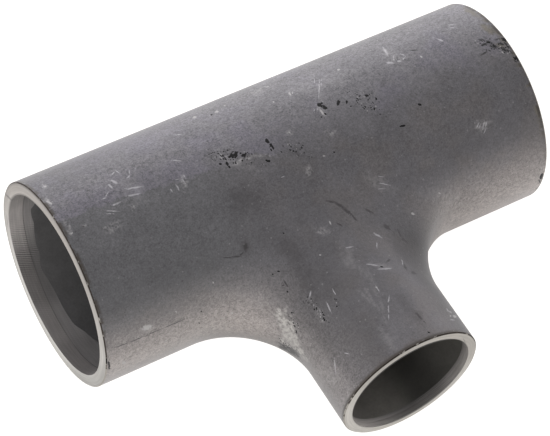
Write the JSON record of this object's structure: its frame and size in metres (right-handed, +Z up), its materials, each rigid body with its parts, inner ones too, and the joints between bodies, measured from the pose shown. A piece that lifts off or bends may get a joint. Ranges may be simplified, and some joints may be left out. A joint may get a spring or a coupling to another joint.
{
  "type": "reducing tee",
  "caption": "Seamless butt-weld reducing tee: a straight run with a smaller branch leaving its middle through a smooth rolled blend, hollow throughout, with machined square ends.",
  "frame": {"origin": "the point where the centre lines of run and branch cross", "axes": "+X along the run to its right-hand end, -Y towards the branch end, which dips 7.5 degrees below level so that the tee lies on its run and on the edge of its branch, +Z up"},
  "size_m": [0.114, 0.0828, 0.0483],
  "materials": {
    "steel": "grey blasted and pickled seamless steel with fine scratches and pits, bright machined ends"
  },
  "bodies": {
    "root": {"tee_body": "steel"}
  },
  "joints": []
}
